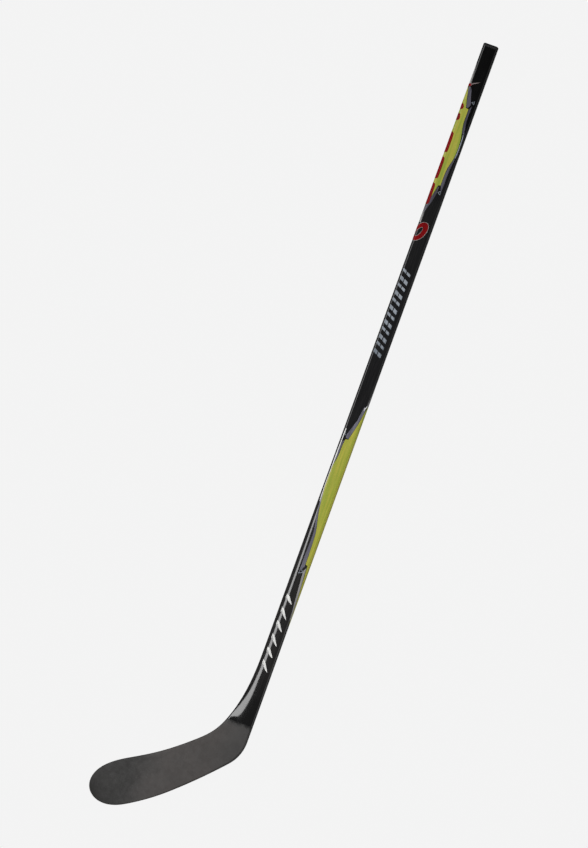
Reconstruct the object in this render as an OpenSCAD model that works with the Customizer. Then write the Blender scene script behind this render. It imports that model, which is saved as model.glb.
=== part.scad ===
// Ice hockey stick, right-handed, lying on its backhand side.
// The origin is the centre of the butt face. X runs down the shaft to the heel, Y points
// away from the blade, and Z points out of the forehand face.

/* [Shaft] */
// Distance from the butt face to the corner where the back edge would meet the ice line
heel_x = 1448; // [1200:1:1740]
// Width of the shaft, in the plane of the blade
shaft_w = 29.4; // [26:0.1:36]
// Thickness of the shaft, across the plane of the blade
shaft_t = 19.5; // [16:0.1:24]
// Radius of the four long corners
corner_r = 4.2; // [3.5:0.1:5]
// Wall of the carbon tube
wall = 2.2; // [1.5:0.1:2.7]
// Length over which the shaft slims down to the neck
taper_len = 285; // [230:1:350]
// Thickness of the neck where it becomes the blade
neck_t = 12.8; // [12:0.1:16]
// Distance the back edge flares out on its way to the heel
heel_flare = 1.4; // [0:0.1:3]
// Distance from the heel corner back to where the neck becomes the blade
neck_up = 62; // [56:1:70]

/* [Crease along the front corners] */
// Distance from the heel corner back to where the crease starts
crease_up = 650; // [450:1:760]
// Length over which the crease sinks into the front corner
crease_sink = 90; // [50:1:150]
// Length over which the crease moves away from the front corner
crease_grow = 290; // [200:1:330]
// Distance of the crease from the round of the corner where it starts
crease_off = 0.2; // [0.1:0.1:1]
// Width of the steep facet at the joint
steep_w = 7.6; // [6:0.1:8.5]
// Slope of the steep facet
steep_angle = 21; // [10:1:24]
// Width of the shallow facet where the crease starts
shallow_start_w = 1.2; // [0.5:0.1:2]
// Width of the shallow facet at the joint
shallow_w = 4.6; // [2:0.1:5]
// Widening of the shallow facet from the joint to the blade
shallow_spread = 8; // [0:0.1:10]
// Slope of the shallow facet
shallow_angle = 12; // [4:1:14]
// Radius of the front corners below the steep facet
front_r = 2.2; // [1.6:0.1:2.6]
// Length over which the crease fades out above the blade
crease_fade = 20; // [16:1:50]

/* [Butt cap] */
// Thickness of the flange that closes the tube
flange_t = 5; // [3:0.5:9]
// Length of the plug inside the tube
plug_len = 32; // [20:1:60]
// Radius round the end of the cap
cap_r = 3; // [1:0.1:3.5]
// Clearance of the plug in the tube, on each side
plug_gap = 0.1; // [0.05:0.05:0.3]
// Length of the plug's tapered end
lead_len = 2; // [1:0.5:6]
// Depth of the taper on each side of the plug's end
lead_in = 0.8; // [0.3:0.1:1.2]

/* [Joint] */
// Distance from the heel corner back to the end of the shaft tube
joint_up = 148; // [120:1:180]
// Length of the tenon inside the tube
tenon_len = 60; // [45:1:80]
// Wall of the tenon
tenon_wall = 1.5; // [1:0.1:2]
// Thickness of the adhesive round the tenon
bond_t = 0.25; // [0.15:0.05:0.4]
// Length of the carbon wrap laid over the joint
wrap_len = 76; // [50:1:100]
// Thickness of the carbon wrap
wrap_t = 0.5; // [0.3:0.1:0.8]
// Length of the foam dam above the tenon
dam_len = 18; // [10:1:40]
// Length of solid hosel between its foam and the blade
floor_len = 8; // [5:1:14]

/* [Blade] */
// Angle between the shaft axis and the ice line, on the heel side
lie = 48; // [43:1:53]
// Length of the blade along the ice line, from the heel corner
blade_len = 294; // [240:1:360]
// Height of the blade at its narrowest, next to the throat
throat_h = 66.3; // [56:0.1:75]
// Height of the blade at its highest, near the toe
toe_h = 86.9; // [76:0.1:96]
// Height of the foremost point of the toe
nose_h = 49.5; // [43:0.5:53]
// Length of the round toe
toe_len = 51; // [42:1:60]
// Distance from the heel corner to the lowest point of the rocker
rocker_p = 151; // [130:1:165]
// Depth of the rocker below the heel corner
rocker_drop = 7.8; // [7:0.1:9]
// Rocker radius on the heel side
rocker_heel_r = 1200; // [1100:10:1600]
// Rocker radius on the toe side
rocker_toe_r = 450; // [420:10:600]
// Radius round the heel
heel_r = 73; // [45:1:80]
// Distance from the heel corner back to where the front edge starts to bulge
bulge_up = 221; // [180:1:240]
// Distance the throat bulges in front of the shaft where the neck ends
throat_drop = 21.5; // [14:0.1:24]
// Thickness of the blade at the heel
heel_t = 8.8; // [7:0.1:10.5]
// Thickness of the blade at the toe
toe_t = 4.8; // [4:0.1:6]
// Depth of the curve at the toe
curve_depth = 14; // [6:0.5:20]
// Opening angle of the face at the toe
face_open = 8; // [0:0.5:10]

/* [Blade layers] */
// Thickness of each carbon face
skin_t = 1.1; // [0.7:0.1:1.4]
// Width of the solid edge strips
edge_w = 4.5; // [3.5:0.1:6.5]
// Width of the rib between the two foam cores
rib_w = 4; // [2:0.1:6]

/* [Hidden] */

// Places along the shaft
joint_x = heel_x - joint_up;
neck_x = heel_x - neck_up;
throat_x = heel_x - bulge_up;
crease_x = heel_x - crease_up;
taper_x = neck_x - taper_len;
tenon_x = joint_x - tenon_len;
wrap_x0 = joint_x - wrap_len / 2;
wrap_x1 = joint_x + wrap_len / 2;
cavity_x = neck_x - floor_len;

// Insets of the layers at the joint
bore_in = wall;
tenon_in = wall + bond_t;
cavity_in = tenon_in + tenon_wall;

// Numbers of stations along each stretch
shaft_n = 20;
neck_n = 4;
fan_n = 24;
blade_n = 20;
toe_n = 16;
tongue_n = 11;
last_n = fan_n + blade_n + toe_n;

// Numbers of steps round a corner of the shaft, an edge of the blade and the rim of the cap
corner_n = 6;
edge_n = 3;
rim_n = 5;

// Smallest corner radius of an inner layer, and smallest height of its front side
least_r = 0.4;
least_fall = 0.2;
// Largest share of the thickness and of the width that the blade's edge radius takes
edge_r_of_t = 0.38;
edge_r_of_w = 0.4;
// Largest shares of the blade's thickness and width that its layers take near the toe
skin_share = 0.3;
strip_share = 0.25;
rib_share = 0.2;
// Corner radius and flat facets of the hosel's tongue
tongue_r = 0.6;
tongue_facet = 3;
no_fall = 0.001;

// Share of the toe curve at which the toe closes with a small flat
toe_end = 0.97;
// Length over which the toe's end thins to a round edge
nose_r = 2.5;
// Roundness of the toe's upper and lower quarters
toe_full = 0.6;
// Share of its thickness, squared, that the toe's end loses
nose_loss = 0.7;
// Place of the throat's end along the ice line, how suddenly the front edge bulges, and how
// far the throat's curve keeps straight at its ends, as a share of its length
throat_p = 62;
throat_power = 2.8;
throat_ease = 0.37;
// Lengths over which the top edge keeps level after the throat and before the toe
top_level = 110;
toe_level = 45;
// Roundness of the toe's lower quarter, along the ice line and up from it
sole_full = 0.63;
tip_full = 0.46;
// How late the curve sets in towards the toe, and how early the blade thins
curve_power = 1.8;
thin_power = 0.8;

// The blade's own axes: along the ice line, and up from it
heel = [heel_x, shaft_w / 2 + heel_flare];
along = [cos(lie), -sin(lie)];
up = [-sin(lie), -cos(lie)];
function blade_point(p, q) = heel + p * along + q * up;

function lerp(a, b, t) = a + (b - a) * t;
function clamp(t) = max(0, min(1, t));
function smooth(t) = clamp(t) * clamp(t) * (3 - 2 * clamp(t));
function spread(a, b, n) = [for (i = [0 : n]) lerp(a, b, i / n)];
function bezier(p, t) = pow(1 - t, 3) * p[0] + 3 * pow(1 - t, 2) * t * p[1]
    + 3 * (1 - t) * t * t * p[2] + pow(t, 3) * p[3];

// The ice edge: two rocker arcs, and the heel arc that touches the back edge and the rocker
rocker_centre = blade_point(rocker_p, rocker_heel_r - rocker_drop);
heel_arc_y = heel.y - heel_r;
heel_arc_x = rocker_centre.x
    + sqrt(pow(rocker_heel_r - heel_r, 2) - pow(heel_arc_y - rocker_centre.y, 2));
heel_arc_end = atan2(heel_arc_y - rocker_centre.y, heel_arc_x - rocker_centre.x);
heel_arc_len = heel_r * (90 - heel_arc_end) * PI / 180;
function heel_arc(angle) = [heel_arc_x, heel_arc_y] + heel_r * [cos(angle), sin(angle)];
rocker_start = (heel_arc(heel_arc_end) - heel) * along;
function rocker_r(p) = p < rocker_p ? rocker_heel_r : rocker_toe_r;
function ice_q(p) = rocker_r(p) - rocker_drop - sqrt(pow(rocker_r(p), 2) - pow(p - rocker_p, 2));

// The back edge, and the front edge with the bulge of the throat
function back_y(x) = shaft_w / 2 + heel_flare * smooth((x - taper_x) / taper_len);
function bulge(x) = throat_drop * pow(max(0, (x - throat_x) / (neck_x - throat_x)), throat_power);
function front_y(x) = -shaft_w / 2 - bulge(x);
bulge_angle = -atan(throat_drop * throat_power / (neck_x - throat_x));

// Thickness down the shaft, and how far the crease has grown at x
function shaft_thick(x) = lerp(shaft_t, neck_t, smooth((x - taper_x) / taper_len));
function crease_end(x) = smooth((x - neck_x + crease_fade) / crease_fade);
function crease_depth(x) = smooth((x - crease_x) / crease_sink) * (1 - crease_end(x));
function crease_steep(x) = lerp(corner_r + crease_off, steep_w, smooth((x - crease_x) / crease_grow));
function crease_shallow(x) =
    lerp(shallow_start_w, shallow_w, pow(clamp((x - crease_x) / (joint_x - crease_x)), 2))
    + shallow_spread * clamp((x - joint_x) / (neck_x - joint_x));

// Half of a cross-section, from the front edge over the top to the back edge. The section is
// w wide and t thick, with corner radius r at the back and rf at the front. Its steep and
// shallow facets have widths s and f, and fall by ds and df.
function half_section(w, t, r, rf, s, f, ds, df) =
    let (slope = atan(ds / s))
    let (run = rf * tan((90 - slope) / 2))
    let (front = [w - rf, t / 2 - df - ds - run])
    let (back = [r, t / 2 - r])
    concat(
        [for (a = spread(0, 90 - slope, corner_n)) front + rf * [cos(a), sin(a)]],
        [[w - s, t / 2 - df], [w - s - f, t / 2]],
        [for (a = spread(90, 180, corner_n)) back + r * [cos(a), sin(a)]]);

function whole_section(half) = concat(half,
    [for (i = [len(half) - 1 : -1 : 0]) [half[i].x, -half[i].y]]);

// Places section points (a, z) at a station [back point, front point, thickness, height, tilt]
function place(station, section) =
    let (w = norm(station[1] - station[0]))
    let (dir = (station[1] - station[0]) / w)
    [for (s = section) [
        station[0].x + s.x * dir.x,
        station[0].y + s.x * dir.y,
        station[3] + s.x * tan(station[4]) + s.y]];

// Ring round the shaft or neck at x, inset by g from the outer surface. Where a layer is too
// thin for the whole fall of the crease, its facets fall less.
function shaft_ring(x, g = 0) =
    let (w = back_y(x) - front_y(x))
    let (t = shaft_thick(x) - 2 * g)
    let (s = crease_steep(x))
    let (f = crease_shallow(x))
    let (depth = crease_depth(x))
    let (rf = max(least_r, lerp(corner_r, front_r, depth) - g))
    let (fall_s = s * tan(steep_angle) * depth)
    let (fall_f = f * tan(shallow_angle) * depth)
    let (share = min(1, (t / 2 - rf - least_fall) / max(least_fall, fall_s + fall_f)))
    let (half = half_section(w - 2 * g, t, max(least_r, corner_r - g), rf,
        s - g, f, share * fall_s, share * fall_f))
    place([[x, back_y(x) - g], [x, front_y(x) + g], 0, 0, 0], whole_section(half));

function shaft_rings(xs, g = 0) = [for (x = xs) shaft_ring(x, g)];

// Stations of the blade, counted from the neck to the toe
fan_lengths = [heel_arc_x - neck_x, heel_arc_len, throat_p - rocker_start];
function fan_back(s) =
    s < fan_lengths[0] ? [neck_x + s, heel.y] :
    s < fan_lengths[0] + fan_lengths[1]
        ? heel_arc(lerp(90, heel_arc_end, (s - fan_lengths[0]) / fan_lengths[1])) :
    let (p = rocker_start + s - fan_lengths[0] - fan_lengths[1]) blade_point(p, ice_q(p));
throat_from = [neck_x, front_y(neck_x)];
throat_to = blade_point(throat_p, throat_h);
throat_reach = throat_ease * norm(throat_to - throat_from);
throat_curve = [
    throat_from,
    throat_from + throat_reach * [cos(bulge_angle), sin(bulge_angle)],
    throat_to - throat_reach * along,
    throat_to];
function fan_station(u) =
    [fan_back(u * (fan_lengths * [1, 1, 1])), bezier(throat_curve, u),
        lerp(neck_t, heel_t, smooth(u)), 0, 0];

toe_p = blade_len - toe_len;
top_curve = [
    [throat_p, throat_h],
    [throat_p + top_level, throat_h],
    [toe_p - toe_level, toe_h],
    [toe_p, toe_h]];
function curve_share(p) = clamp((p - throat_p) / (blade_len - throat_p));
function curve_z(p) = curve_depth * pow(curve_share(p), curve_power);
function open_angle(p) = -face_open * curve_share(p);
function blade_thick(p) = lerp(heel_t, toe_t, pow(curve_share(p), thin_power));
function blade_station(u) =
    let (top = bezier(top_curve, u))
    [blade_point(top.x, ice_q(top.x)), blade_point(top.x, top.y),
        blade_thick(top.x), curve_z(top.x), open_angle(top.x)];

toe_slope = asin((toe_p - rocker_p) / rocker_toe_r);
nose = [blade_len, nose_h];
upper_toe = [
    [toe_p, toe_h],
    [toe_p + toe_full * toe_len, toe_h],
    nose + [0, toe_full * (toe_h - nose_h)],
    nose];
lower_toe = [
    [toe_p, ice_q(toe_p)],
    [toe_p, ice_q(toe_p)] + sole_full * toe_len * [cos(toe_slope), sin(toe_slope)],
    nose - [0, tip_full * nose_h],
    nose];
function nose_thin(p) = sqrt(1 - nose_loss * pow(max(0, p - blade_len + nose_r) / nose_r, 2));
function toe_station(u) =
    let (top = bezier(upper_toe, u))
    let (low = bezier(lower_toe, u))
    let (p = (top.x + low.x) / 2)
    [blade_point(low.x, low.y), blade_point(top.x, top.y),
        blade_thick(p) * nose_thin(p), curve_z(p), open_angle(p)];

function station(i) =
    i <= fan_n ? fan_station(i / fan_n) :
    i <= fan_n + blade_n ? blade_station((i - fan_n) / blade_n) :
    toe_station(toe_end * (i - fan_n - blade_n) / toe_n);

// Layers of the blade at a station
function width(st) = norm(st[1] - st[0]);
function skin(st) = min(skin_t, skin_share * st[2]);
function half_core(st) = st[2] / 2 - skin(st);
function strip(st) = min(edge_w, strip_share * width(st));
function cuts(st) =
    let (w = width(st))
    let (rib = min(rib_w, rib_share * w))
    [strip(st), (w - rib) / 2, (w + rib) / 2, w - strip(st)];
function blade_r(st) = min(corner_r, edge_r_of_t * st[2], edge_r_of_w * width(st));
function split_angle(st) = asin((blade_r(st) - skin(st)) / blade_r(st));
// Rounded edge at the ice side, from angle a0 at the side to a1 at the face
function edge_arc(st, a0, a1) =
    let (r = blade_r(st))
    [for (a = spread(a0, a1, edge_n)) [r - r * cos(a), st[2] / 2 - r + r * sin(a)]];
// The same points on the other side of the section, in z or across its width
function mirror_z(points) = [for (i = [len(points) - 1 : -1 : 0]) [points[i].x, -points[i].y]];
function mirror_a(st, points) =
    [for (i = [len(points) - 1 : -1 : 0]) [width(st) - points[i].x, points[i].y]];

function face_section(st) =
    let (arc = edge_arc(st, split_angle(st), 90))
    concat([for (p = arc) [width(st) - p.x, p.y]], [for (i = [edge_n : -1 : 0]) arc[i]],
        [for (c = cuts(st)) [c, half_core(st)]]);
function edge_section(st) =
    let (arc = edge_arc(st, 0, split_angle(st)))
    concat([[strip(st), half_core(st)]], [for (i = [edge_n : -1 : 0]) arc[i]],
        [for (p = arc) [p.x, -p.y]], [[strip(st), -half_core(st)]]);
function block_section(st, from, to) =
    let (c = cuts(st))
    let (h = half_core(st))
    [[c[to], -h], [c[to], h], [c[from], h], [c[from], -h]];

// Tongue of the hosel between the blade's faces and edge strips
function tongue_ring(i) =
    let (st = station(i))
    let (e = strip(st))
    let (half = half_section(width(st) - 2 * e, 2 * half_core(st), tongue_r, tongue_r,
        tongue_facet, tongue_facet, no_fall, no_fall))
    place(st, [for (s = whole_section(half)) [s.x + e, s.y]]);

// Solid through a list of rings, which all have the same number of points. A closed loft joins
// its last ring to its first, and an open one has a cap at each end.
function quad(p, a, b, c, d) = norm(p[a] - p[c]) <= norm(p[b] - p[d])
    ? [[a, b, c], [a, c, d]] : [[a, b, d], [b, c, d]];
function middle(ring) = [for (p = ring) 1] * ring / len(ring);
module loft(rings, closed = false) {
    n = len(rings[0]);
    m = len(rings);
    points = concat([for (r = rings) each r], [middle(rings[0]), middle(rings[m - 1])]);
    walls = [for (k = [0 : closed ? m - 1 : m - 2], j = [0 : n - 1])
        each quad(points, k * n + j, k * n + (j + 1) % n,
            (k + 1) % m * n + (j + 1) % n, (k + 1) % m * n + j)];
    caps = closed ? [] : [for (j = [0 : n - 1])
        each [[m * n, (j + 1) % n, j], [m * n + 1, (m - 1) * n + j, (m - 1) * n + (j + 1) % n]]];
    polyhedron(closed ? [for (i = [0 : m * n - 1]) points[i]] : points, concat(walls, caps));
}

// Solid shell between x0 and x1, from inset g0 to inset g1
module sleeve(x0, x1, g0, g1, n) {
    xs = spread(x0, x1, n);
    back = spread(x1, x0, n);
    loft(concat(shaft_rings(xs, g0), shaft_rings(back, g1)), closed = true);
}

module shaft_tube() {
    body = concat([flange_t], spread(crease_x, wrap_x0, shaft_n));
    lap = spread(wrap_x0, joint_x, neck_n);
    bore = concat(spread(joint_x, wrap_x0, neck_n), [for (i = [shaft_n - 1 : -1 : 0])
        lerp(crease_x, wrap_x0, i / shaft_n)], [flange_t]);
    color("#161617")
        loft(concat(shaft_rings(body), shaft_rings(lap, wrap_t), shaft_rings(bore, bore_in)),
            closed = true);
}

module butt_cap() {
    rim = [for (a = spread(0, 90, rim_n)) shaft_ring(cap_r * (1 - cos(a)), cap_r * (1 - sin(a)))];
    plug = shaft_rings([flange_t, flange_t + plug_len - lead_len], wall + plug_gap);
    plug_end = shaft_ring(flange_t + plug_len, wall + plug_gap + lead_in);
    color("#1c1c1d") loft(concat(rim, [shaft_ring(flange_t)], plug, [plug_end]));
}

module shaft_dam() {
    color("#d8d2bf") loft(shaft_rings(spread(tenon_x - dam_len, tenon_x, 2), bore_in));
}

module hosel() {
    cavity = shaft_rings(spread(cavity_x, tenon_x, 2 * neck_n), cavity_in);
    tenon = shaft_rings(spread(tenon_x, joint_x, neck_n), tenon_in);
    lap = shaft_rings(spread(joint_x, wrap_x1, neck_n), wrap_t);
    neck = shaft_rings(spread(wrap_x1, neck_x, 2 * neck_n));
    tongue = [for (i = [0 : tongue_n]) tongue_ring(i)];
    color("#202022") loft(concat(cavity, tenon, lap, neck, tongue));
}

module hosel_core() {
    color("#d8d2bf") loft(shaft_rings(spread(tenon_x, cavity_x, 2 * neck_n), cavity_in));
}

module tenon_bond() {
    color("#b9a05a") sleeve(tenon_x, joint_x, bore_in, tenon_in, neck_n);
}

module joint_wrap() {
    color("#19191a") sleeve(wrap_x0, wrap_x1, 0, wrap_t, 2 * neck_n);
}

// Rings of one layer of the blade, from station i0 to the toe
function layer(i0, points) = [for (i = [i0 : last_n]) place(station(i), points(station(i)))];

module blade_face_front() {
    color("#4b4947") loft(layer(0, function (st) face_section(st)));
}

module blade_face_back() {
    color("#454341") loft(layer(0, function (st) mirror_z(face_section(st))));
}

module blade_edge_top() {
    color("#3a3938") loft(layer(0, function (st) mirror_a(st, edge_section(st))));
}

module blade_edge_bottom() {
    color("#3a3938") loft(layer(0, function (st) edge_section(st)));
}

module blade_core_upper() {
    color("#e2dcc8") loft(layer(tongue_n, function (st) block_section(st, 2, 3)));
}

module blade_core_lower() {
    color("#e2dcc8") loft(layer(tongue_n, function (st) block_section(st, 0, 1)));
}

module blade_core_rib() {
    color("#2b2b2d") loft(layer(tongue_n, function (st) block_section(st, 1, 2)));
}

shaft_tube();
butt_cap();
shaft_dam();
hosel();
hosel_core();
tenon_bond();
joint_wrap();
blade_face_front();
blade_face_back();
blade_edge_top();
blade_edge_bottom();
blade_core_upper();
blade_core_lower();
blade_core_rib();
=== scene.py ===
"""Looks of the ice hockey stick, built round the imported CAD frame. Metres, row frame:
X runs down the shaft from the butt, Y points away from the blade, Z out of the forehand face."""

import math

import bmesh
import bpy
import numpy as np
from mathutils import Matrix, Vector
from mathutils.bvhtree import BVHTree


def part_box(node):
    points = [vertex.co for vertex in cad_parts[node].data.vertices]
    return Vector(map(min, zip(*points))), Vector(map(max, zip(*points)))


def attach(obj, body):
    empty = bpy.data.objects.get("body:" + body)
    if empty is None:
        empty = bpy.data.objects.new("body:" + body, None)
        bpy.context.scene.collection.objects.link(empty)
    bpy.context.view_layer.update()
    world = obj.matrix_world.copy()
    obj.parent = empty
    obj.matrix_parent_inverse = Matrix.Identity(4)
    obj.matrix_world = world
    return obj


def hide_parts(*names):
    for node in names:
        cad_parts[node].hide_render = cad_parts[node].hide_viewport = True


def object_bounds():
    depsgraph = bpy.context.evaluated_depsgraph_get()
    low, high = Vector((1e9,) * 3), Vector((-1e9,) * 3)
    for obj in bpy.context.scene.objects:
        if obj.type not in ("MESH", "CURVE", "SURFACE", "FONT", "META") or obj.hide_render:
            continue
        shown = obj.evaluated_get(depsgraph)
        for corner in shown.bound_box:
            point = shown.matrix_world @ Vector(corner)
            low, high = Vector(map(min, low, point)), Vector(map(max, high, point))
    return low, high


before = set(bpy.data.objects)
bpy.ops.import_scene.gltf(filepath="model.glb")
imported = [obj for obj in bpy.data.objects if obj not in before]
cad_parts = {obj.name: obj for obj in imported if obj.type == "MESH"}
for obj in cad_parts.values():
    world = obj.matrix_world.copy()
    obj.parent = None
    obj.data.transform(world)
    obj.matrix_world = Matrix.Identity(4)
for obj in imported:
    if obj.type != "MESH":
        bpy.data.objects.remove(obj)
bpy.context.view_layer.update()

MM = 0.001

# ---------------------------------------------------------------- camera
VIEW_TILT = math.radians(7)       # the camera stands a little to the back-edge side
SHAFT_LEAN = math.radians(19.95)  # lean of the shaft from the image's vertical
VIEW_CENTRE = (0.8123, -0.1080)   # the image's centre: along the shaft, and across it
VIEW_HEIGHT = 1.6260              # metres of the stick's plane that the image is high
LENS_MM = 300
SENSOR_MM = 36
CAMERA_REACH = 100                # metres the camera sees ahead

to_camera = Vector((0, math.sin(VIEW_TILT), math.cos(VIEW_TILT)))
across = Vector((0, math.cos(VIEW_TILT), -math.sin(VIEW_TILT)))
down_shaft = Vector((1, 0, 0))


def make_camera():
    right = across * math.cos(SHAFT_LEAN) - down_shaft * math.sin(SHAFT_LEAN)
    up = -across * math.sin(SHAFT_LEAN) - down_shaft * math.cos(SHAFT_LEAN)
    centre = down_shaft * VIEW_CENTRE[0] + across * VIEW_CENTRE[1]
    data = bpy.data.cameras.new("camera")
    data.sensor_fit = "VERTICAL"
    data.sensor_height = SENSOR_MM
    data.lens = LENS_MM
    data.clip_end = CAMERA_REACH
    camera = bpy.data.objects.new("camera", data)
    camera.matrix_world = Matrix.Translation(centre + to_camera * VIEW_HEIGHT * LENS_MM / SENSOR_MM) @ \
        Matrix((right, up, to_camera)).transposed().to_4x4()
    bpy.context.scene.collection.objects.link(camera)
    bpy.context.scene.camera = camera


make_camera()


# ---------------------------------------------------------------- materials
def grey(level):
    return (level, level, level)


MIX_SOCKETS = (0, 6, 7)   # the Mix node's factor, A and B when it mixes colours
MIX_RESULT = 2


class Graph:
    """Short calls for building one material's node graph."""

    def __init__(self, material, kind, result):
        self.tree = material.node_tree
        self.tree.nodes.clear()
        output = self.node("OutputMaterial")
        self.shader = self.node(kind)
        self.link(self.shader.outputs[result], output.inputs["Surface"])

    def node(self, kind, **settings):
        made = self.tree.nodes.new("ShaderNode" + kind)
        for key, value in settings.items():
            setattr(made, key, value)
        return made

    def link(self, out, socket):
        self.tree.links.new(out, socket)

    def feed(self, socket, value):
        """Links a node's output into the socket, or sets a number or a colour on it."""
        if isinstance(value, bpy.types.NodeSocket):
            self.link(value, socket)
        elif isinstance(value, tuple):
            socket.default_value = (*value, 1)
        else:
            socket.default_value = value

    def position(self, scale=(1, 1, 1)):
        coords = self.node("TexCoord")
        mapping = self.node("Mapping")
        mapping.inputs["Scale"].default_value = scale
        self.link(coords.outputs["Object"], mapping.inputs["Vector"])
        return mapping.outputs["Vector"]

    def noise(self, scale, stretch=(1, 1, 1), detail=4, rough=0.55):
        made = self.node("TexNoise")
        made.inputs["Scale"].default_value = scale
        made.inputs["Detail"].default_value = detail
        made.inputs["Roughness"].default_value = rough
        self.link(self.position(stretch), made.inputs["Vector"])
        return made.outputs["Fac"]

    def ramp(self, value, stops):
        made = self.node("ValToRGB")
        points = made.color_ramp.elements
        while len(points) < len(stops):
            points.new(0.5)
        for point, (place, colour) in zip(points, stops):
            point.position = place
            point.color = (*colour, 1)
        self.link(value, made.inputs["Fac"])
        return made.outputs["Color"]

    def mix(self, factor, a, b, kind="MIX"):
        made = self.node("Mix", data_type="RGBA", blend_type=kind)
        for socket, value in zip(MIX_SOCKETS, (factor, a, b)):
            self.feed(made.inputs[socket], value)
        return made.outputs[MIX_RESULT]

    def remap(self, value, low, high, to_low, to_high, smooth=False):
        made = self.node("MapRange", interpolation_type="SMOOTHSTEP" if smooth else "LINEAR")
        for key, number in zip(("From Min", "From Max", "To Min", "To Max"),
                               (low, high, to_low, to_high)):
            made.inputs[key].default_value = number
        self.link(value, made.inputs["Value"])
        return made.outputs["Result"]

    def axis(self, letter):
        coords = self.node("TexCoord")
        split = self.node("SeparateXYZ")
        self.link(coords.outputs["Object"], split.inputs["Vector"])
        return split.outputs[letter]

    def math(self, kind, a, b):
        made = self.node("Math", operation=kind)
        for socket, value in zip(made.inputs, (a, b)):
            self.feed(socket, value)
        return made.outputs[0]

    def bump(self, height, strength, distance):
        made = self.node("Bump")
        made.inputs["Strength"].default_value = strength
        made.inputs["Distance"].default_value = distance
        self.link(height, made.inputs["Height"])
        return made.outputs["Normal"]


def new_material(name, kind="BsdfPrincipled", result="BSDF"):
    """A material with one shader of that kind: the material, the shader, and the graph to add to."""
    material = bpy.data.materials.new(name)
    material.use_nodes = True
    graph = Graph(material, kind, result)
    return material, graph.shader, graph


# Painted reflection in the lacquer's colour, darker near the butt and just above the neck: stops as
# shares of the greatest brightness, placed by share of the length (in metres) from the butt
SHEEN_LENGTH = 1.4
SHEEN_MOST = 3.0
PAINTED_SHEEN = [(0.0, grey(0.10)), (0.12, grey(0.12)), (0.24, grey(0.58)), (0.56, grey(0.64)),
        (0.76, (0.98, 0.94, 0.88)), (0.91, (0.92, 0.88, 0.82)), (0.955, grey(0.30))]
# Where the satin grip lacquer of the upper shaft turns into full gloss, in metres from the butt
GRIP_FADE = (0.72, 0.90)


def lacquer():
    """Black lacquer over carbon fibre, satin at the grip and gloss below it, with faint fibres
    under it and fine handling marks."""
    material, shader, g = new_material("gloss_lacquer")
    fibres = g.noise(900, (0.03, 1, 1), detail=3)
    tow = g.ramp(fibres, [(0.35, (0.0035, 0.0035, 0.0038)), (0.75, (0.0085, 0.0082, 0.0085))])
    # painted reflection: the colour is lightened and darkened along the shaft as the lacquer's
    # reflections are
    painted_sheen = g.ramp(g.remap(g.axis("X"), 0, SHEEN_LENGTH, 0, 1), PAINTED_SHEEN)
    bright = g.node("VectorMath", operation="SCALE")
    bright.inputs["Scale"].default_value = SHEEN_MOST
    g.link(painted_sheen, bright.inputs["Vector"])
    g.link(g.mix(1.0, tow, bright.outputs["Vector"], "MULTIPLY"), shader.inputs["Base Color"])
    marks = g.noise(60, (0.5, 1, 1), detail=6)
    g.link(g.remap(marks, 0.3, 0.8, 0.10, 0.17), shader.inputs["Roughness"])
    g.link(g.bump(g.noise(260, (0.25, 1, 1), detail=3), 0.05, 0.0002), shader.inputs["Normal"])
    polish = g.remap(g.axis("X"), *GRIP_FADE, 0, 1, smooth=True)
    g.link(g.remap(polish, 0, 1, 0.3, 0.5), shader.inputs["Specular IOR Level"])
    g.link(g.remap(polish, 0, 1, 0.05, 0.6), shader.inputs["Coat Weight"])
    shader.inputs["Coat Roughness"].default_value = 0.05
    return material


FILM_GRAIN = 0.5                # share of the fine grain in a film's colour
FILM_ROUGHNESS = (0.22, 0.32)


def print_film(name, light, dark, shine=0.2):
    """A printed film under thin lacquer: its colour drifts in long streaks down the shaft."""
    material, shader, g = new_material(name)
    streaks = g.noise(240, (0.035, 1, 1), detail=4, rough=0.6)
    broad = g.noise(26, (0.3, 1, 1), detail=4)
    blend = g.math("ADD", g.math("MULTIPLY", streaks, 0.8), g.math("MULTIPLY", broad, 0.2))
    base = g.ramp(blend, [(0.40, dark), (0.57, light)])
    fine = g.noise(900, (0.12, 1, 1), detail=2)
    tooth = g.ramp(fine, [(0.3, grey(0.84)), (0.7, grey(1.0))])
    g.link(g.mix(FILM_GRAIN, base, tooth, "MULTIPLY"), shader.inputs["Base Color"])
    g.link(g.remap(g.noise(80, detail=5), 0.3, 0.7, *FILM_ROUGHNESS), shader.inputs["Roughness"])
    g.link(g.bump(fine, 0.04, 0.0002), shader.inputs["Normal"])
    shader.inputs["Specular IOR Level"].default_value = shine
    return material


# The rubbed middle of the blade: where it fades out, in metres across the shaft (object Y). Towards
# the toe, past it, the colour darkens as painted shade
SCUFF_TOE = (-0.170, -0.095)
SCUFF_NECK = (-0.035, 0.020)
SCUFF_BLUR = 0.03
# Where the lacquer thins out over the blade's neck, in metres down the shaft
LACQUER_FADE = (1.392, 1.404)
FADE_WOBBLE = 0.012
FLAT_CLOTH = (1, 1, 0.05)   # stretch of a pattern that hardly changes through the blade


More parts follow.
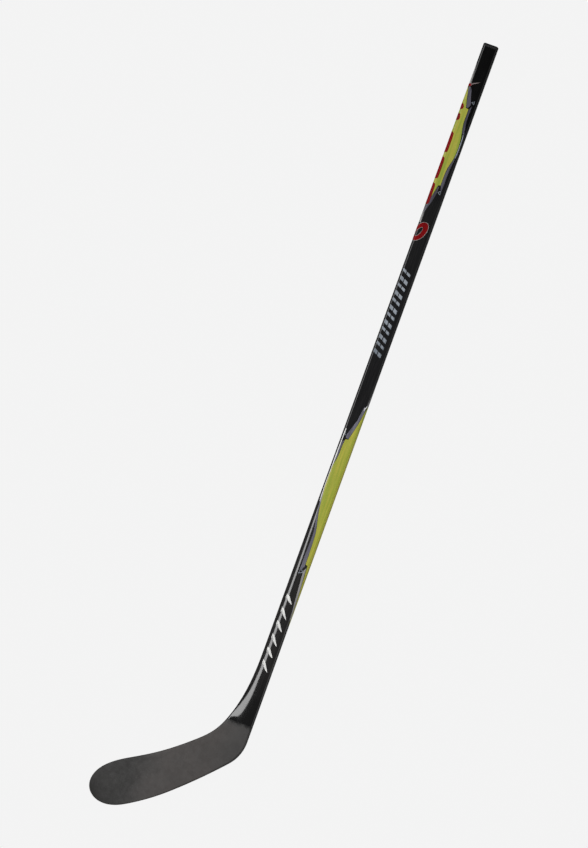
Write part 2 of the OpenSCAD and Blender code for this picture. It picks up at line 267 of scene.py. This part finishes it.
def blade_carbon():
    """Matte carbon skin: overlapping cloth patches, a faint twill and a sanded, dusty surface,
    which dives under the lacquer at the neck."""
    material, shader, g = new_material("matte_carbon")
    cells = g.node("TexVoronoi", feature="F1", distance="CHEBYCHEV")
    cells.inputs["Scale"].default_value = 52
    g.link(g.position(FLAT_CLOTH), cells.inputs["Vector"])
    patch = g.node("SeparateColor")
    g.link(cells.outputs["Color"], patch.inputs["Color"])
    cloud = g.noise(16, detail=6, rough=0.6)
    tone = g.ramp(cloud, [(0.34, (0.038, 0.0365, 0.0345)), (0.68, (0.056, 0.0530, 0.0505))])
    reach = g.math("ADD", g.axis("Y"), g.math("MULTIPLY", cloud, SCUFF_BLUR))
    toe_side = g.remap(reach, *SCUFF_TOE, 0, 1, smooth=True)
    neck_side = g.remap(reach, *SCUFF_NECK, 1, 0, smooth=True)
    scuff = g.math("MULTIPLY", toe_side, neck_side)
    # painted shade: towards the toe the colour drops to about a third, where the curved face turns from
    # the light
    plain = g.mix(toe_side, (0.28, 0.27, 0.26), (0.80, 0.79, 0.80))
    tone = g.mix(1.0, tone, g.mix(scuff, plain, (0.99, 0.90, 0.885)), "MULTIPLY")
    cloth = g.ramp(patch.outputs[0], [(0.0, grey(0.86)), (1.0, grey(1.0))])
    twill = g.node("TexWave", wave_type="BANDS", bands_direction="DIAGONAL", wave_profile="SIN")
    twill.inputs["Scale"].default_value = 160
    twill.inputs["Distortion"].default_value = 0.6
    g.link(g.position(FLAT_CLOTH), twill.inputs["Vector"])
    weave = g.ramp(twill.outputs["Fac"], [(0.0, grey(0.88)), (1.0, grey(1.0))])
    colour = g.mix(0.7, tone, cloth, "MULTIPLY")
    colour = g.mix(0.6, colour, weave, "MULTIPLY")
    bare = g.remap(g.math("ADD", g.axis("X"), g.math("MULTIPLY", g.noise(90), FADE_WOBBLE)),
                   *LACQUER_FADE, 0, 1, smooth=True)
    g.link(g.mix(bare, grey(0.008), colour), shader.inputs["Base Color"])
    sanded = g.remap(g.noise(110, detail=6), 0.3, 0.7, 0.50, 0.64)
    g.link(g.math("SUBTRACT", sanded, g.remap(bare, 0, 1, 0.34, 0)), shader.inputs["Roughness"])
    height = g.math("ADD", g.math("MULTIPLY", twill.outputs["Fac"], 0.3), g.noise(700, detail=4))
    g.link(g.bump(height, 0.18, 0.0002), shader.inputs["Normal"])
    shader.inputs["Specular IOR Level"].default_value = 0.45
    return material


def moulded_cap():
    """Satin moulded cap with a fine grain."""
    material, shader, g = new_material("moulded_cap")
    grain = g.noise(1500, detail=3)
    g.link(g.ramp(grain, [(0.3, (0.006, 0.006, 0.0062)), (0.7, (0.012, 0.012, 0.0122))]),
           shader.inputs["Base Color"])
    g.link(g.remap(grain, 0.3, 0.7, 0.3, 0.42), shader.inputs["Roughness"])
    g.link(g.bump(grain, 0.2, 0.0001), shader.inputs["Normal"])
    shader.inputs["Specular IOR Level"].default_value = 0.25
    return material


MATERIALS = {
    "lacquer": lacquer(),
    "carbon": blade_carbon(),
    "cap": moulded_cap(),
    "lime": print_film("lime_print", (0.375, 0.366, 0.049), (0.240, 0.315, 0.036)),
    "lower lime": print_film("lower_lime_print", (0.430, 0.396, 0.055), (0.295, 0.345, 0.040)),
    "violet": print_film("violet_grey_print", (0.160, 0.157, 0.195), (0.090, 0.088, 0.113)),
    "dusty": print_film("dusty_rose_print", (0.235, 0.190, 0.185), (0.120, 0.095, 0.095)),
    "dusk": print_film("dark_violet_print", (0.092, 0.088, 0.113), (0.050, 0.048, 0.062)),
    # pale: print, and also a painted reflection at the back edge of the lower shaft
    "pale": print_film("pale_print_and_reflection", (0.36, 0.35, 0.34), (0.17, 0.165, 0.17)),
    "silver": print_film("silver_print", (0.30, 0.33, 0.37), (0.17, 0.195, 0.225)),
    "red": print_film("red_print", (0.205, 0.0015, 0.003), (0.125, 0.001, 0.002), shine=0.06),
    # white: print, and also painted highlights on the lower shaft
    "white": print_film("white_print_and_highlight", (0.86, 0.86, 0.83), (0.58, 0.58, 0.57)),
}


# ---------------------------------------------------------------- carried-over CAD pieces
SHARP = math.radians(38)              # the least angle between faces that stays an edge
SQUARE_ANGLE = math.radians(25)       # triangles bent by less than this join into a square
SQUARE_SHAPE = math.radians(180)      # and their corners may have any angle
WELD = 2e-6                           # metres within which points are one
MEETING = 4e-6                        # metres within which corners of two pieces meet
SMOOTHING = 1                         # levels of subdivision
TINY = 1e-12


def apply_modifiers(piece):
    bpy.context.view_layer.update()
    graph = bpy.context.evaluated_depsgraph_get()
    mesh = bpy.data.meshes.new_from_object(piece.evaluated_get(graph))
    piece.modifiers.clear()
    old = piece.data
    piece.data = mesh
    bpy.data.meshes.remove(old)


def refined(node, material):
    """A smooth copy of a CAD node's mesh: welded, squared up, and subdivided with its edges held."""
    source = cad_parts[node].data
    bm = bmesh.new()
    bm.from_mesh(source)
    bmesh.ops.remove_doubles(bm, verts=bm.verts, dist=WELD)
    bmesh.ops.join_triangles(bm, faces=bm.faces, angle_face_threshold=SQUARE_ANGLE,
                             angle_shape_threshold=SQUARE_SHAPE)
    crease = bm.edges.layers.float.new("crease_edge")
    for edge in bm.edges:
        if len(edge.link_faces) == 2 and edge.calc_face_angle(0) > SHARP:
            edge[crease] = 1
    mesh = bpy.data.meshes.new(node + "_look")
    bm.to_mesh(mesh)
    bm.free()
    piece = bpy.data.objects.new(node + "_look", mesh)
    bpy.context.scene.collection.objects.link(piece)
    subdivision = piece.modifiers.new("smooth", "SUBSURF")
    subdivision.levels = subdivision.render_levels = SMOOTHING
    apply_modifiers(piece)
    piece.data.materials.clear()
    piece.data.materials.append(material)
    return piece


def column(items, key, kind, width=1):
    """One property of all of a mesh's items, as an array with a row for each item."""
    values = np.empty(len(items) * width, kind)
    items.foreach_get(key, values)
    return values.reshape(-1, width) if width > 1 else values


def smooth_normals(pieces):
    """Smooth shading that runs on from piece to piece, as one coat of lacquer or paint does: where
    corners of any pieces meet at a point and lie within SHARP of each other, they share a normal."""
    corners = []
    for piece in pieces:
        mesh = piece.data
        vertex = column(mesh.loops, "vertex_index", np.int32)
        sizes = column(mesh.polygons, "loop_total", np.int32)
        face = np.repeat(np.arange(len(mesh.polygons)), sizes)
        corners.append((column(mesh.vertices, "co", np.float32, 3)[vertex],
                        column(mesh.polygons, "normal", np.float32, 3)[face],
                        column(mesh.polygons, "area", np.float32)[face]))
    place, normal, weight = (np.concatenate(parts) for parts in zip(*corners))
    normal = normal.astype(float)
    weight = weight.astype(float) + TINY
    keys = np.round(place / MEETING).astype(np.int64)
    order = np.lexsort(keys.T)
    breaks = np.flatnonzero((np.diff(keys[order], axis=0) != 0).any(1)) + 1
    result = normal.copy()
    limit = math.cos(SHARP)
    for group in np.split(order, breaks):
        close = (normal[group] @ normal[group].T) > limit
        total = close @ (normal[group] * weight[group, None])
        result[group] = total / np.maximum(np.linalg.norm(total, axis=1), TINY)[:, None]
    start = 0
    for piece in pieces:
        count = len(piece.data.loops)
        piece.data.shade_smooth()
        piece.data.normals_split_custom_set(result[start:start + count])
        start += count


def dress_inside():
    """The sealed inner pieces stay as the CAD nodes, each in the material of the real piece."""
    foam, shader, g = new_material("closed_cell_foam")
    cells = g.node("TexVoronoi")
    cells.inputs["Scale"].default_value = 900
    g.link(g.position(), cells.inputs["Vector"])
    g.link(g.ramp(cells.outputs["Distance"], [(0.1, (0.50, 0.46, 0.35)), (0.6, (0.74, 0.70, 0.58))]),
           shader.inputs["Base Color"])
    shader.inputs["Roughness"].default_value = 0.85
    glue, shader, g = new_material("cured_adhesive")
    g.link(g.ramp(g.noise(200), [(0.3, (0.36, 0.26, 0.09)), (0.7, (0.52, 0.40, 0.17))]),
           shader.inputs["Base Color"])
    shader.inputs["Roughness"].default_value = 0.4
    inner = {"shaft_dam": foam, "hosel_core": foam, "blade_core_upper": foam,
             "blade_core_lower": foam, "tenon_bond": glue, "blade_core_rib": MATERIALS["carbon"]}
    for node, material in inner.items():
        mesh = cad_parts[node].data
        mesh.materials.clear()
        mesh.materials.append(material)


# Each visible CAD node's material and slot
LOOKS = {
    "shaft_tube": ("lacquer", "shaft_lacquer"),
    "joint_wrap": ("lacquer", "shaft_lacquer"),
    "hosel": ("lacquer", "shaft_lacquer"),
    "butt_cap": ("cap", "cap_rubber"),
    "blade_face_front": ("carbon", "blade_carbon"),
    "blade_face_back": ("carbon", "blade_carbon"),
    "blade_edge_top": ("carbon", "blade_edge"),
    "blade_edge_bottom": ("carbon", "blade_edge"),
}


def make_shells():
    pieces = {}
    for node, (material, slot) in LOOKS.items():
        piece = refined(node, MATERIALS[material])
        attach(piece, "root")
        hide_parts(node)
        pieces[node] = piece
    smooth_normals(list(pieces.values()))
    return pieces


shells = make_shells()
dress_inside()


# ---------------------------------------------------------------- printed films
# Sizes here are in mm. The cap has the shaft's section.
cap_low, cap_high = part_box("butt_cap")
SHAFT_W = (cap_high.y - cap_low.y) / MM
SHAFT_T = (cap_high.z - cap_low.z) / MM
CORNER_R = 4.2                    # of the shaft's long corners
FILM_T = 0.12                     # height of a film over the skin
FILM_STEP = (12, 1.0)             # size of a film's faces, down the shaft and round it
CUT_NEAR = 1e-4
WELD_NEAR = 1e-3
ABOVE_SKIN = 5                    # where a look down at the skin starts
LOOK_REACH = 0.02                 # and how far it goes, in metres
ARC = CORNER_R * math.pi / 2
FLAT_W = SHAFT_W / 2 - CORNER_R   # half of the flat of the wide sides
FLAT_T = SHAFT_T / 2 - CORNER_R   # half of the flat of the narrow sides
EDGE_S = FLAT_W + ARC + FLAT_T    # way round from the middle of a wide side to a narrow one's


def round_point(s):
    """Point and outward direction (y, z) on the shaft's section, s mm round it from the middle of
    the forehand side: positive over the back edge, negative over the front edge."""
    s = (s + 2 * EDGE_S) % (4 * EDGE_S) - 2 * EDGE_S
    side = 1 if s >= 0 else -1
    way = abs(s)
    flip = 1
    if way > EDGE_S:
        way = 2 * EDGE_S - way
        flip = -1
    if way < FLAT_W:
        point, out = (way, SHAFT_T / 2), (0, 1)
    elif way < FLAT_W + ARC:
        angle = (way - FLAT_W) / CORNER_R
        out = (math.sin(angle), math.cos(angle))
        point = (FLAT_W + CORNER_R * out[0], FLAT_T + CORNER_R * out[1])
    else:
        point, out = (SHAFT_W / 2, FLAT_T - (way - FLAT_W - ARC)), (1, 0)
    return Vector((0, side * point[0], flip * point[1])), Vector((0, side * out[0], flip * out[1]))


def outer_skin():
    """The skin that the films lie on."""
    bm = bmesh.new()
    for name in ("shaft_tube", "joint_wrap", "hosel"):
        bm.from_mesh(shells[name].data)
    tree = BVHTree.FromBMesh(bm)
    bm.free()
    return tree


skin = outer_skin()


def on_shaft(x, s, lift):
    """The place on the shaft's skin, x mm down it and s mm round it, lifted by lift mm."""
    point, out = round_point(s)
    start = (point + out * ABOVE_SKIN + Vector((x, 0, 0))) * MM
    hit = skin.ray_cast(start, -out, LOOK_REACH)[0]
    if hit is None:
        hit = skin.find_nearest(start)[0]
    return hit + out * lift * MM


def film(name, outline, material, lift=0.0, step=FILM_STEP):
    """A thin film in the shape of outline, a closed list of (x, s) points in mm, laid on the shaft."""
    bm = bmesh.new()
    bm.faces.new([bm.verts.new((x, s, 0)) for x, s in outline])
    bmesh.ops.triangulate(bm, faces=bm.faces)
    for axis, gap in enumerate(step):
        low = min(v.co[axis] for v in bm.verts)
        high = max(v.co[axis] for v in bm.verts)
        direction = Vector((1 - axis, axis, 0))
        for k in range(math.floor(low / gap) + 1, math.ceil(high / gap)):
            bmesh.ops.bisect_plane(bm, geom=bm.verts[:] + bm.edges[:] + bm.faces[:],
                                   plane_co=direction * (k * gap), plane_no=direction, dist=CUT_NEAR)
    bmesh.ops.remove_doubles(bm, verts=bm.verts, dist=WELD_NEAR)
    bmesh.ops.recalc_face_normals(bm, faces=bm.faces)
    top = [on_shaft(v.co.x, v.co.y, lift + FILM_T) for v in bm.verts]
    base = [on_shaft(v.co.x, v.co.y, lift - FILM_T / 2) for v in bm.verts]
    bm.verts.index_update()
    faces = [[v.index for v in f.verts] for f in bm.faces]
    rim = [(e.verts[0].index, e.verts[1].index) for e in bm.edges if len(e.link_faces) == 1]
    bm.free()
    count = len(top)
    mesh = bpy.data.meshes.new(name)
    mesh.from_pydata(top + base, [], faces + [[i + count for i in reversed(f)] for f in faces]
                     + [[a, b, b + count, a + count] for a, b in rim])
    solid = bmesh.new()
    solid.from_mesh(mesh)
    bmesh.ops.recalc_face_normals(solid, faces=solid.faces)
    solid.to_mesh(mesh)
    solid.free()
    mesh.materials.append(MATERIALS[material])
    mesh.shade_smooth()
    mesh.set_sharp_from_angle(angle=SHARP)
    piece = bpy.data.objects.new(name, mesh)
    bpy.context.scene.collection.objects.link(piece)
    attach(piece, "root")
    return piece


def both_sides(edge, middle):
    """An outline symmetric about the middle of a narrow side, from its edge on the forehand side."""
    return edge + [(x, 2 * middle - s) for x, s in reversed(edge)]


def smoothed(points, per_span=5):
    """A Catmull-Rom curve through the points."""
    out = []
    for i in range(len(points) - 1):
        p = [Vector(points[max(0, min(len(points) - 1, i + k))]) for k in (-1, 0, 1, 2)]
        for j in range(per_span):
            t = j / per_span
            out.append(tuple(0.5 * (2 * p[1] + (p[2] - p[0]) * t
                                    + (2 * p[0] - 5 * p[1] + 4 * p[2] - p[3]) * t * t
                                    + (3 * p[1] - p[0] - 3 * p[2] + p[3]) * t ** 3)))
    return out + [tuple(points[-1])]


# The middles of the narrow sides, on the blade's side and on the other
FRONT = -EDGE_S
BACK = EDGE_S
OVER_PRINT = 0.1   # lift of a film that lies on another
LINE_W = 1.5       # width of the thin lines beside the panels


def film_pair(name, outline, middle, material, **more):
    """The film on the forehand side, and its mirror image about middle on the backhand side."""
    film(name, outline, material, **more)
    film(name + "_back", [(x, 2 * middle - s) for x, s in outline][::-1], material, **more)


def upper_panel():
    """The yellow-green panel round the front edge of the upper shaft, with its border bands."""
    rise = smoothed([(88, -17), (92, -13.6), (100, -11.2), (112, -8.4), (130.5, -4)])
    crown = smoothed([(131.5, 1.7), (150, 1.6), (163, 2.2), (178, 5.0), (192, 7.6), (208, 8.6),
                      (228, 7.6), (245, 3.8), (262, 1.2), (287, 1.2)])
    fall = smoothed([(288, -3.0), (300, -5.6), (314, -8.8), (336, -16)])
    film("print_upper_lime", both_sides(rise + crown + fall, FRONT), "lime")
    band = smoothed([(89, -9.4), (94, -5.9), (104, -3.0), (112, -0.6), (118, 1.8), (122, 2.7),
                     (126, 1.6), (129.5, -0.4)]) \
        + smoothed([(129.5, -3.6), (112, -7.8), (100, -10.6), (92, -12.6)])
    film_pair("print_upper_band_1", band, FRONT, "dusk")
    band = smoothed([(124, 6.2), (140, 6.0), (158, 6.4), (170, 8.6), (184, 11.0)]) \
        + smoothed([(178, 5.6), (163, 2.8), (150, 2.2), (133, 2.3)])
    film_pair("print_upper_band_2", band, FRONT, "dusk")
    band = smoothed([(226, 10.6), (240, 8.8), (262, 7.4), (288, 7.2), (300, 6.4)]) \
        + smoothed([(287, 1.8), (262, 1.8), (245, 4.4), (230, 8.0)])
    film_pair("print_upper_band_3", band, FRONT, "dusk")
    band = smoothed([(290, -0.6), (306, -1.2), (326, -5.4), (346, -12.2)]) \
        + smoothed([(336, -14.6), (314, -8.2), (300, -5.0), (290, -2.6)])
    film_pair("print_upper_band_4", band, FRONT, "dusk")


RED_BARS = [(123, 136), (143, 158.5), (181, 224), (232, 277), (285, 329)]


def red_bars():
    """Rounded bars along the narrow front side, which show as a row of red dashes."""
    for i, (start, end) in enumerate(RED_BARS):
        edge = smoothed([(start, -17), (start + 1.5, -11.2), (start + 6, -8.9),
                         ((start + end) / 2, -8.5), (end - 4.5, -8.7), (end - 0.6, -11), (end, -17)], 4)
        film(f"print_red_bar_{i}", both_sides(edge, FRONT), "red", lift=0.12)


def silver_lines():
    """Thin silver accents beside the panels."""
    film_pair("print_spike", [(75.5, 6.4), (83.5, -6.6), (88.5, -9.8), (84, -11.6), (80.5, -6)], FRONT,
              "dusty")
    foot = [(84.5, -17), (83, -11.6), (85.5, -8.4), (88, -10), (91, -17)]
    film("print_spike_foot", both_sides(foot, FRONT), "red", lift=OVER_PRINT)
    crest = smoothed([(172, 9.0), (188, 10.6), (206, 11.2), (224, 10.6), (240, 8.4)])
    film_pair("print_crest_line", crest + [(x, s - LINE_W) for x, s in reversed(crest[2:-3])], FRONT,
              "silver")
    for name, start, end in (("a", 44, 88), ("b", 332, 366)):
        film_pair("print_front_sliver_" + name,
                  smoothed([(start, -13.9), ((start + end) / 2, -12.2), (end, -11.0)])
                  + smoothed([(end, -14.6), ((start + end) / 2, -15.4), (start, -15.6)]), FRONT, "pale")


OVAL_POINTS = 36
RING_LEAN = math.radians(-24)


def oval(x, s, long_r, short_r, lean):
    """Points round an ellipse leaning by an angle."""
    turn = [2 * math.pi * i / OVAL_POINTS for i in range(OVAL_POINTS)]
    return [(x + long_r * math.cos(a) * math.cos(lean) - short_r * math.sin(a) * math.sin(lean),
             s + long_r * math.cos(a) * math.sin(lean) + short_r * math.sin(a) * math.cos(lean))
            for a in turn]


def ring_mark():
    """A plain slanted ring that wraps on to the front edge, red with a pale rim."""
    for name, outer_r, hole_r, material, lift in (
            ("rim", (21.5, 12.3), (10.5, 3.7), "pale", 0),
            ("band", (20.8, 11.6), (11.0, 4.2), "red", OVER_PRINT)):
        outer = oval(383, -6.4, *outer_r, RING_LEAN)
        hole = oval(384, -8.2, *hole_r, RING_LEAN)
        half = OVAL_POINTS // 2
        for part in (0, 1):
            way = [i % OVAL_POINTS for i in range(part * half, (part + 1) * half + 1)]
            film_pair(f"print_ring_{name}_{part}",
                      [outer[i] for i in way] + [hole[i] for i in way[::-1]],
                      FRONT, material, lift=lift)


BAR_COUNT = 12
BAR_START = 459        # of the first bar, from the butt
BAR_PITCH = 14.8
BAR_WIDTHS = (5.4, 7.4)
BAR_SLANT = 9          # how much farther from the butt a bar's back end lies
BAR_ENDS = (-11.4, 5.6)
BAR_SPLIT = 1.6        # gap between a bar's two halves


def slanted_bars():
    """A row of slanted silver bars, each in two halves end to end, between the two panels."""
    low, high = BAR_ENDS
    middle = (low + high) / 2
    for i in range(BAR_COUNT):
        x = BAR_START + i * BAR_PITCH
        wide = BAR_WIDTHS[i % 2]
        for part, (a, b) in enumerate(((low, middle - BAR_SPLIT / 2), (middle + BAR_SPLIT / 2, high))):
            shift_a, shift_b = (BAR_SLANT * (v - low) / (high - low) for v in (a, b))
            film_pair(f"print_bar_{i}_{part}", [(x + shift_a, a), (x + shift_a + wide, a),
                                                (x + shift_b + wide, b), (x + shift_b, b)],
                      FRONT, "silver")


def lower_panel():
    """The yellow-green panel round the back edge of the lower shaft, with its border bands."""
    rise = smoothed([(734, 18.5), (745, 13.6), (770, 9.6), (805, 1.2)])
    crown = smoothed([(806, -4.2), (820, -5.6), (840, -6.2), (860, -9.8), (880, -11.4), (900, -10.9),
                      (925, -8.4), (950, -5.4), (970, -1.4), (985, 2.1), (1000, 4.3), (1030, 5.4),
                      (1058, 6.0)])
    fall = smoothed([(1059, 10.4), (1075, 11.4), (1100, 13), (1140, 15.6), (1180, 19)])
    film("print_lower_lime", both_sides(rise + crown + fall, BACK), "lower lime")
    band = smoothed([(742, 13.0), (770, 9.0), (804, 0.6)]) \
        + [(803, -4.6), (796, -4.8)] + smoothed([(765, 5.0), (745, 7.6), (735, 9.4)])
    film_pair("print_lower_band_1", band, BACK, "violet")
    # painted highlight: a white film where the back edge catches a glint
    film_pair("painted_glint_lower", [(731, 14.6), (735, 14.2), (743, 10.6), (739, 10.2)], BACK, "white")
    band = smoothed([(808, -5.0), (820, -6.2), (840, -6.8), (858, -10.2)]) \
        + smoothed([(852, -11.0), (830, -9.4), (812, -8.8)])
    film_pair("print_lower_band_2", band, BACK, "violet")
    band = smoothed([(906, -10.8), (925, -9.0), (950, -6.0), (970, -2.0), (985, 1.5), (1000, 3.7),
                     (1030, 4.8), (1062, 5.4)]) \
        + smoothed([(1076, -1.4), (1040, -1.2), (1000, -0.8), (985, -2.2), (960, -7.2), (935, -9.8),
                    (912, -11.8)])
    film_pair("print_lower_band_3", band, BACK, "violet")
    band = smoothed([(1064, 9.8), (1080, 10.8), (1100, 12.4), (1140, 15.0), (1172, 18.0)]) \
        + smoothed([(1168, 14.6), (1140, 11.6), (1110, 9.2), (1082, 6.8), (1070, 6.4)])
    film_pair("print_lower_band_4", band, BACK, "pale")
    # painted reflection: a pale film, fading out, where the back edge reflects the light
    film_pair("painted_reflection_lead_in", smoothed([(694, 18.6), (712, 15.4), (733, 13.8)])
              + smoothed([(738, 16.4), (720, 17.4), (700, 19.4)]), BACK, "pale")
    # painted highlight: a white line where the front crease starts to catch the light
    line = smoothed([(785, -9.4), (800, -9.6), (830, -9.8), (862, -10.4), (900, -10.8), (936, -9.6)])
    film_pair("painted_front_highlight", line + [(x, s - LINE_W) for x, s in reversed(line[1:-1])], BACK,
              "white", lift=OVER_PRINT)


THIRD_TURN = 2.094   # radians
NOTCH_FLAT = 0.8     # a triangle's height, as a share of its length
NOTCH_HOLE = 0.66    # its hole, as a share of its size


def notch_mark(name, x, s, size, turn, middle):
    """A small outlined triangle, at the notch where two bands of a panel meet."""
    angles = [turn + k * THIRD_TURN for k in range(3)]
    corners = [(x + size * math.cos(a), s + NOTCH_FLAT * size * math.sin(a)) for a in angles]
    for k in range(3):
        a, b = corners[k], corners[(k + 1) % 3]
        inner = [(x + NOTCH_HOLE * (p[0] - x), s + NOTCH_HOLE * (p[1] - s)) for p in (b, a)]
        film_pair(f"{name}_{k}", [a, b] + inner, middle, "silver")


def notch_marks():
    notch_mark("print_notch_a", 117, 6.4, 4.4, 2.6, FRONT)
    notch_mark("print_notch_b", 301, 4.4, 5, 0.5, FRONT)
    notch_mark("print_notch_c", 796, -9.6, 5, 2.9, BACK)
    notch_mark("print_notch_d", 1073, 1.6, 7, 5.6, BACK)


# Start of each stroke from the butt, and its reach down the shaft
STROKES = [(1124, 13), (1151, 17), (1178, 15), (1205, 17), (1232, 14), (1258, 17)]
STROKE_WIDTHS = (0.8, 4.2, 3.2, 0.5)   # half widths along a stroke


def brush_strokes():
    """A row of slanted white strokes with pointed ends, down the lower shaft."""
    for i, (x, reach) in enumerate(STROKES):
        spine = [(x, -7.5), (x + 0.35 * reach, -3.5), (x + 0.75 * reach, 1.5), (x + 1.15 * reach, 7)]
        left, right = (smoothed([(p[0] + sign * w, p[1]) for p, w in zip(spine, STROKE_WIDTHS)], 4)
                       for sign in (-1, 1))
        film_pair(f"print_stroke_{i}", left + right[::-1], BACK, "white")
        film_pair(f"print_stroke_dash_{i}", [(x - 3, -8.6), (x + 6, -8.6), (x + 9, -7.2), (x, -7.2)],
                  BACK, "white")


CAP_LIP = (5.1, 6.0)   # where the cap's lip starts and ends, from the butt


def cap_lip():
    """The thin lip of the cap's flange, right round the end of the tube."""
    start, end = CAP_LIP
    girth = 4 * EDGE_S
    film("cap_lip", [(start, 0), (end, 0), (end, girth), (start, girth)], "cap",
         step=(FILM_STEP[0], 0.7))


upper_panel()
red_bars()
silver_lines()
ring_mark()
slanted_bars()
lower_panel()
notch_marks()
brush_strokes()
cap_lip()


# ---------------------------------------------------------------- floor and light
FLOOR_LEVEL = 0.9   # brightness of the floor
FLOOR_SIZE = 30
LIGHT_AIM = Vector((0.8, -0.05, 0))
LIGHT_DISTANCE = 3.0
LIGHT_LENGTH = 4.0
# Name, angle round the shaft from straight above (positive to the back-edge side), width, power,
# and whether the stick mirrors it. One that isn't mirrored lights the stick but leaves no
# reflection on it.
LIGHTS = [
    ("key_softbox", -27, 1.22, 80, True),
    ("fill_left", -75, 1.5, 7, True),
    ("fill_right", 62, 3.0, 22, True),
    ("fill_top", 12, 3.0, 26, False),
]
WORLD_GREY = 0.9
WORLD_STRENGTH = 0.08


def make_floor():
    """A pale floor that glows evenly, as a lit studio sweep does, so the stick throws no shadow."""
    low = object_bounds()[0].z
    mesh = bpy.data.meshes.new("floor")
    half = FLOOR_SIZE / 2
    mesh.from_pydata([(-half, -half, low), (half, -half, low), (half, half, low), (-half, half, low)],
                     [], [(0, 1, 2, 3)])
    material, glow, _ = new_material("studio_floor", "Emission", "Emission")
    glow.inputs["Color"].default_value = (*grey(FLOOR_LEVEL), 1)
    mesh.materials.append(material)
    floor = bpy.data.objects.new("floor", mesh)
    bpy.context.scene.collection.objects.link(floor)
    floor.visible_glossy = False


def area_light(name, angle, width, power, mirrored):
    """A long soft light beside the stick."""
    data = bpy.data.lights.new(name, "AREA")
    data.shape = "RECTANGLE"
    data.size = LIGHT_LENGTH
    data.size_y = width
    data.energy = power
    angle = math.radians(angle)
    out = Vector((0, math.sin(angle), math.cos(angle)))
    light = bpy.data.objects.new(name, data)
    light.visible_glossy = mirrored
    light.matrix_world = Matrix.Translation(LIGHT_AIM + out * LIGHT_DISTANCE) @ \
        Matrix((down_shaft, out.cross(down_shaft), out)).transposed().to_4x4()
    bpy.context.scene.collection.objects.link(light)


def make_lights():
    for settings in LIGHTS:
        area_light(*settings)
    world = bpy.data.worlds.new("studio")
    bpy.context.scene.world = world
    world.use_nodes = True
    background = world.node_tree.nodes["Background"]
    background.inputs["Color"].default_value = (*grey(WORLD_GREY), 1)
    background.inputs["Strength"].default_value = WORLD_STRENGTH
    bpy.context.scene.view_settings.view_transform = "Standard"


make_floor()
make_lights()
